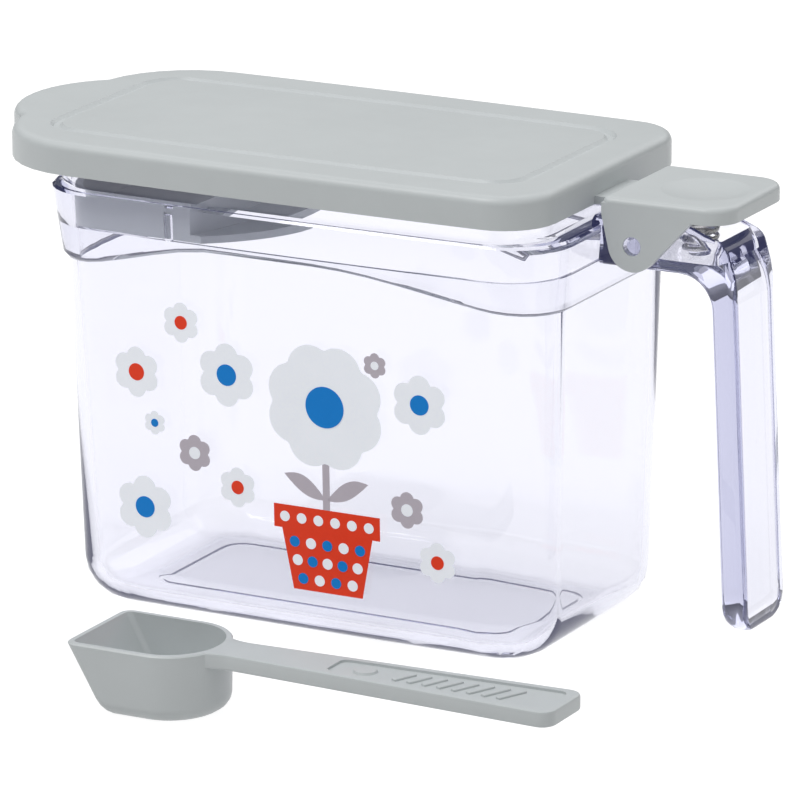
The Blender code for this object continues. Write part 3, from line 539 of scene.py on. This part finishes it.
def moulding(node, name, body, material):
    """A copy of a CAD node with its facets merged and its curves smoothed, which stands for the node."""
    bm = bmesh.new()
    bm.from_mesh(NODES[node].data)
    bmesh.ops.remove_doubles(bm, verts=bm.verts, dist=WELD_GAP)
    bmesh.ops.dissolve_degenerate(bm, edges=bm.edges, dist=SLIVER)
    for face in bm.faces:
        face.smooth = True
        face.material_index = 0
    for edge in bm.edges:
        edge.smooth = len(edge.link_faces) == 2 and edge.calc_face_angle(0.0) < SHARP_ANGLE
    piece = new_piece(name, bm, body, [material])
    weighted = piece.modifiers.new("Weighted Normals", "WEIGHTED_NORMAL")
    weighted.keep_sharp = True
    weighted.weight = BIG_FACE_WEIGHT
    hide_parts(node)
    return piece


def petal_disc(bm, x, z, radius, petals, turn, lift):
    """A flower's outline: a disc whose edge is drawn in between round petals."""
    before = set(bm.verts)
    bmesh.ops.create_circle(bm, cap_ends=True, segments=petals * SIDES_PER_PETAL, radius=1.0)
    verts = added(bm, before)
    for v in verts:
        angle = math.atan2(v.co.y, v.co.x) + turn
        reach = petal_reach(radius, petals, angle)
        v.co = on_front(x + reach * math.cos(angle), z + reach * math.sin(angle), lift)
    return verts


def petal_reach(radius, petals, angle):
    """How far a flower's edge is from its middle at this angle."""
    middle, round_off = PETAL_MIDDLE * radius, PETAL_ROUND * radius
    local = (angle % (2 * math.pi / petals)) - math.pi / petals
    spread = math.asin(round_off / middle * NOTCH_SHARE)
    local = max(min(local, spread), -spread)
    across = middle * math.sin(local)
    return middle * math.cos(local) + math.sqrt(max(round_off**2 - across**2, 0.0))


def round_disc(bm, x, z, radius, lift, segments=28):
    before = set(bm.verts)
    bmesh.ops.create_circle(bm, cap_ends=True, segments=segments, radius=radius)
    verts = added(bm, before)
    for v in verts:
        v.co = on_front(x + v.co.x, z + v.co.y, lift)
    return verts


def thicken_print(bm, thickness):
    """Gives flat ink a wall, with its faces outwards."""
    for face in bm.faces:
        face.normal_update()
        if face.normal.y > 0:
            face.normal_flip()
    made = bmesh.ops.extrude_face_region(bm, geom=list(bm.faces))
    verts = [item for item in made["geom"] if isinstance(item, bmesh.types.BMVert)]
    bmesh.ops.translate(bm, vec=(0, -thickness, 0), verts=verts)
    bmesh.ops.recalc_face_normals(bm, faces=bm.faces)


class CANISTER_OT_flowers(bpy.types.Operator):
    """Print the scattered flowers on the front wall"""

    bl_idname = "canister.printed_flowers"
    bl_label = "Printed Flowers"

    def execute(self, context):
        settings = context.scene.print_settings
        bm = bmesh.new()
        for number, (x, z, radius, petals, centre) in enumerate(FLOWERS):
            x, z, radius = x * MM, z * MM, radius * MM
            turn = TURN_PER_FLOWER * number
            paint(bm, petal_disc(bm, x, z, radius, PETALS, turn, layer(settings, 0)), petals)
            paint(bm, round_disc(bm, x, z, EYE_SHARE * radius, layer(settings, 1)), centre)
        thicken_print(bm, settings.lift)
        new_piece("printed_flowers", bm, "container", inks(settings))
        return {"FINISHED"}


def inks(settings):
    """The inks' materials, in the order that paint counts them."""
    made = []
    for key in INKS:
        name = f"{key.title()} Ink"
        made.append(bpy.data.materials.get(name) or ink(name, getattr(settings, key)))
    return made


class CANISTER_OT_motif(bpy.types.Operator):
    """Print a big daisy in a spotted flowerpot in the middle of the front wall"""

    bl_idname = "canister.printed_motif"
    bl_label = "Printed Motif"

    def execute(self, context):
        settings = context.scene.print_settings
        bm = bmesh.new()
        layers = [layer(settings, number) for number in range(3)]
        print_daisy(bm, layers)
        print_pot(bm, layers)
        thicken_print(bm, settings.lift)
        new_piece("printed_motif", bm, "container", inks(settings))
        return {"FINISHED"}


def print_daisy(bm, layers):
    """The stem with its two leaves, and the flower at its top."""
    stem = upright(STEM_FOOT, STEM_TOP, STEM_HALF, STEM_HALF)
    paint(bm, flat_shape(bm, stem, layers[0]), "mauve")
    for side in (-1, 1):
        paint(bm, flat_shape(bm, leaf_outline(side), layers[0]), "mauve")
    x, z = MOTIF_X * MM, DAISY_HEIGHT * MM
    head = petal_disc(bm, x, z, DAISY_RADIUS * MM, DAISY_PETALS, DAISY_TURN, layers[1])
    paint(bm, head, "pale")
    paint(bm, round_disc(bm, x, z, DAISY_EYE * MM, layers[2], DAISY_EYE_SIDES), "blue")


def print_pot(bm, layers):
    """The pot and the band round its top, each with its spots."""
    pot = upright(POT_FOOT, POT_TOP, POT_FOOT_HALF, POT_TOP_HALF)
    band = upright(BAND_FOOT, BAND_TOP, BAND_HALF, BAND_HALF)
    paint(bm, flat_shape(bm, pot, layers[0]), "red")
    paint(bm, flat_shape(bm, band, layers[1]), "red")
    for number, row in enumerate(POT_SPOTS):
        colours = ("pale", "blue") if number % 2 else ("blue", "pale")
        print_spots(bm, row, POT_SPOT_RADIUS, layers[1], colours)
    print_spots(bm, BAND_SPOTS, BAND_SPOT_RADIUS, layers[2], ("pale",))


def print_spots(bm, row, radius, lift, colours):
    """A row of round spots, evenly spaced about the motif's middle line."""
    z, count, half = row
    for i in range(count):
        x = MOTIF_X - half + 2 * half * i / (count - 1)
        spot = round_disc(bm, x * MM, z * MM, radius * MM, lift, SPOT_SIDES)
        paint(bm, spot, colours[i % len(colours)])


def upright(low, high, half_low, half_high):
    """The corners of a shape that stands on the motif's middle line."""
    left, right = MOTIF_X - half_low, MOTIF_X + half_low
    return (left, low), (right, low), (MOTIF_X + half_high, high), (MOTIF_X - half_high, high)


def leaf_outline(side):
    """A pointed leaf that rises from the stem: out along its upper edge, and back along its lower one."""
    upper = [leaf_point(side, i / LEAF_STEPS, LEAF_TOP_BULGE) for i in range(LEAF_STEPS + 1)]
    lower = [leaf_point(side, i / LEAF_STEPS, -LEAF_LOW_BULGE) for i in range(LEAF_STEPS - 1, 0, -1)]
    return upper + lower


def leaf_point(side, share, bulge):
    x = MOTIF_X + side * LEAF_REACH * share
    return x, LEAF_FOOT + LEAF_RISE * share + bulge * math.sin(math.pi * share)


def flat_shape(bm, corners, lift):
    """A flat printed shape through corners given in millimetres."""
    verts = [bm.verts.new(on_front(x * MM, z * MM, lift)) for x, z in corners]
    bmesh.ops.contextual_create(bm, geom=verts)
    return verts


class CANISTER_OT_scoop_relief(bpy.types.Operator):
    """Raise the grip bars inside the recess on the scoop's handle"""

    bl_idname = "canister.scoop_relief"
    bl_label = "Scoop Relief"

    def execute(self, context):
        middle = (SCOOP_LOW.y + SCOOP_HIGH.y) / 2
        low, high = SCOOP_HIGH.z - RELIEF_FOOT, SCOOP_HIGH.z - RELIEF_TOP
        bm = bmesh.new()
        for i in range(BAR_COUNT):
            place = (SCOOP_HIGH.x - FIRST_BAR - BAR_PITCH * i, middle, (low + high) / 2)
            raised_bar(bm, place, (BAR_WIDTH, BAR_LENGTH - BAR_SHORTENING * i, high - low))
        before = set(bm.verts)
        bmesh.ops.create_cone(
            bm,
            cap_ends=True,
            segments=40,
            radius1=PIP_FOOT_RADIUS,
            radius2=PIP_TOP_RADIUS,
            depth=high - low,
        )
        place = (SCOOP_HIGH.x - PIP_PLACE, middle, (low + high) / 2)
        bmesh.ops.translate(bm, vec=place, verts=added(bm, before))
        material = bpy.data.materials["Satin Scoop"]
        new_piece("scoop_relief", bm, "scoop", [material])
        return {"FINISHED"}


def raised_bar(bm, place, size):
    """A soft-edged bar that leans across the handle."""
    before = set(bm.verts)
    bmesh.ops.create_cube(bm, size=1.0)
    verts = added(bm, before)
    bmesh.ops.scale(bm, vec=size, verts=verts)
    edges = list({e for v in verts for e in v.link_edges if max(p.co.z for p in e.verts) > 0})
    rounding = {"affect": "EDGES", "offset": BAR_ROUND, "segments": 3, "profile": 0.5, "material": -1}
    bmesh.ops.bevel(bm, geom=edges, **rounding)
    verts = added(bm, before)
    lean = Matrix.Rotation(BAR_LEAN, 3, "Z")
    bmesh.ops.rotate(bm, cent=(0, 0, 0), matrix=lean, verts=verts)
    bmesh.ops.translate(bm, vec=place, verts=verts)


# ------------------------------------------------------------------ studio


class CANISTER_OT_studio(bpy.types.Operator):
    """Build the pale floor, the soft lights, the sky and the camera"""

    bl_idname = "canister.studio"
    bl_label = "Studio"

    def execute(self, context):
        settings = context.scene.studio_settings
        build_floor(settings)
        build_sky(context.scene, settings)
        build_lights(settings)
        build_camera(context.scene, settings)
        context.scene.view_settings.view_transform = "Standard"
        return {"FINISHED"}


def build_floor(settings):
    """A round of pale paper that gives light of its own, less of it to other surfaces than to the eye."""
    bm = bmesh.new()
    bmesh.ops.create_circle(bm, cap_ends=True, segments=96, radius=FLOOR_RADIUS)
    mesh = bpy.data.meshes.new("studio_floor")
    bm.to_mesh(mesh)
    bm.free()
    floor = bpy.data.objects.new("studio_floor", mesh)
    floor.location.z = -FLOOR_DROP
    bpy.context.scene.collection.objects.link(floor)
    shader = Shader("Studio Paper")
    fibre = shader.noise(260.0, detail=3.0, roughness=0.6)
    colour = shader.mix(fibre, rgba(settings.floor, 0.99), rgba(settings.floor, 1.0))
    white = (1.0, 1.0, 1.0, 1.0)
    seen, shed = (
        shader.surface(
            Base_Color=colour,
            Roughness=0.85,
            Emission_Color=white,
            Emission_Strength=settings.floor_glow * share,
        )
        for share in (1.0, FLOOR_SHED_SHARE)
    )
    diffuse = shader.node("ShaderNodeLightPath", out="Is Diffuse Ray")
    shader.mix_surfaces(diffuse, seen, shed)
    mesh.materials.append(shader.material)


def build_sky(scene, settings):
    """White light, strongest from overhead, so that sides are shaded and clear edges show."""
    world = bpy.data.worlds.new("Studio Sky")
    world.use_nodes = True
    nodes, links = world.node_tree.nodes, world.node_tree.links
    coords = nodes.new("ShaderNodeTexCoord")
    parts = nodes.new("ShaderNodeSeparateXYZ")
    ramp = nodes.new("ShaderNodeMapRange")
    ramp.interpolation_type = "SMOOTHSTEP"
    ramp.inputs["From Min"].default_value = 0.0
    ramp.inputs["From Max"].default_value = ZENITH_FROM
    ramp.inputs["To Min"].default_value = settings.horizon
    ramp.inputs["To Max"].default_value = settings.zenith
    links.new(coords.outputs["Generated"], parts.inputs["Vector"])
    links.new(parts.outputs["Z"], ramp.inputs["Value"])
    background = nodes["Background"]
    background.inputs["Color"].default_value = (1.0, 1.0, 1.0, 1.0)
    links.new(ramp.outputs["Result"], background.inputs["Strength"])
    scene.world = world


def build_lights(settings):
    add_softbox("key_light", KEY_PLACE, KEY_SIZE, settings.key)
    add_softbox("back_light", BACK_PLACE, BACK_SIZE, settings.key * BACK_SHARE)


def add_softbox(name, place, size, power):
    data = bpy.data.lights.new(name, "AREA")
    data.shape = "RECTANGLE"
    data.size, data.size_y = size
    data.energy = power
    light = bpy.data.objects.new(name, data)
    light.location = place
    light.rotation_euler = (LIGHT_AIM - Vector(place)).to_track_quat("-Z", "Y").to_euler()
    bpy.context.scene.collection.objects.link(light)


def build_camera(scene, settings):
    a, e = settings.azimuth, settings.elevation
    right = Vector((math.cos(a), math.sin(a), 0))
    back = Vector((math.sin(a) * math.cos(e), -math.cos(a) * math.cos(e), math.sin(e)))
    up = back.cross(right)
    place = CAMERA_MIDDLE + back * settings.distance
    aim = CAMERA_MIDDLE + right * AIM_RIGHT - up * AIM_DOWN
    data = bpy.data.cameras.new("camera")
    data.sensor_width = SENSOR_WIDTH
    data.lens = LENS
    data.clip_start, data.clip_end = NEAREST, FARTHEST
    camera = bpy.data.objects.new("camera", data)
    camera.location = place
    turn = (aim - place).to_track_quat("-Z", "Y").to_matrix()
    camera.rotation_euler = (turn @ Matrix.Rotation(CAMERA_ROLL, 3, "Z")).to_euler()
    scene.collection.objects.link(camera)
    scene.camera = camera


# ------------------------------------------------------------------ add-on


class CANISTER_PT_panel(bpy.types.Panel):
    """Lists the operators and the settings in the sidebar"""

    bl_idname = "CANISTER_PT_panel"
    bl_label = "Formula Canister"
    bl_space_type = "VIEW_3D"
    bl_region_type = "UI"
    bl_category = "Canister"

    def draw(self, context):
        for operator in OPERATORS:
            self.layout.operator(operator.bl_idname)
        for group, names in SHOWN.items():
            box = self.layout.box()
            for name in names:
                box.prop(getattr(context.scene, group), name)


OPERATORS = (
    CANISTER_OT_clear,
    CANISTER_OT_satin,
    CANISTER_OT_fittings,
    CANISTER_OT_flowers,
    CANISTER_OT_motif,
    CANISTER_OT_scoop_relief,
    CANISTER_OT_studio,
)
GROUPS = {
    "clear_settings": ClearSettings,
    "satin_settings": SatinSettings,
    "print_settings": PrintSettings,
    "studio_settings": StudioSettings,
}
SHOWN = {
    "clear_settings": ("clarity", "tint", "tint_density", "ior", "painted_glow", "painted_glow_strength"),
    "satin_settings": ("colour", "roughness"),
    "print_settings": ("pale", "blue", "red", "mauve", "lift"),
    "studio_settings": (
        "floor",
        "floor_glow",
        "key",
        "zenith",
        "horizon",
        "azimuth",
        "elevation",
        "distance",
    ),
}


def register():
    for group in GROUPS.values():
        bpy.utils.register_class(group)
    for operator in OPERATORS:
        bpy.utils.register_class(operator)
    bpy.utils.register_class(CANISTER_PT_panel)
    for name, group in GROUPS.items():
        setattr(bpy.types.Scene, name, bpy.props.PointerProperty(type=group))


def unregister():
    for name in GROUPS:
        delattr(bpy.types.Scene, name)
    bpy.utils.unregister_class(CANISTER_PT_panel)
    for operator in reversed(OPERATORS):
        bpy.utils.unregister_class(operator)
    for group in reversed(list(GROUPS.values())):
        bpy.utils.unregister_class(group)


def main():
    register()
    bpy.ops.canister.clear_moulding()
    bpy.ops.canister.satin_mouldings()
    bpy.ops.canister.fittings()
    bpy.ops.canister.printed_flowers()
    bpy.ops.canister.printed_motif()
    bpy.ops.canister.scoop_relief()
    bpy.ops.canister.studio()


if __name__ == "__main__":
    main()
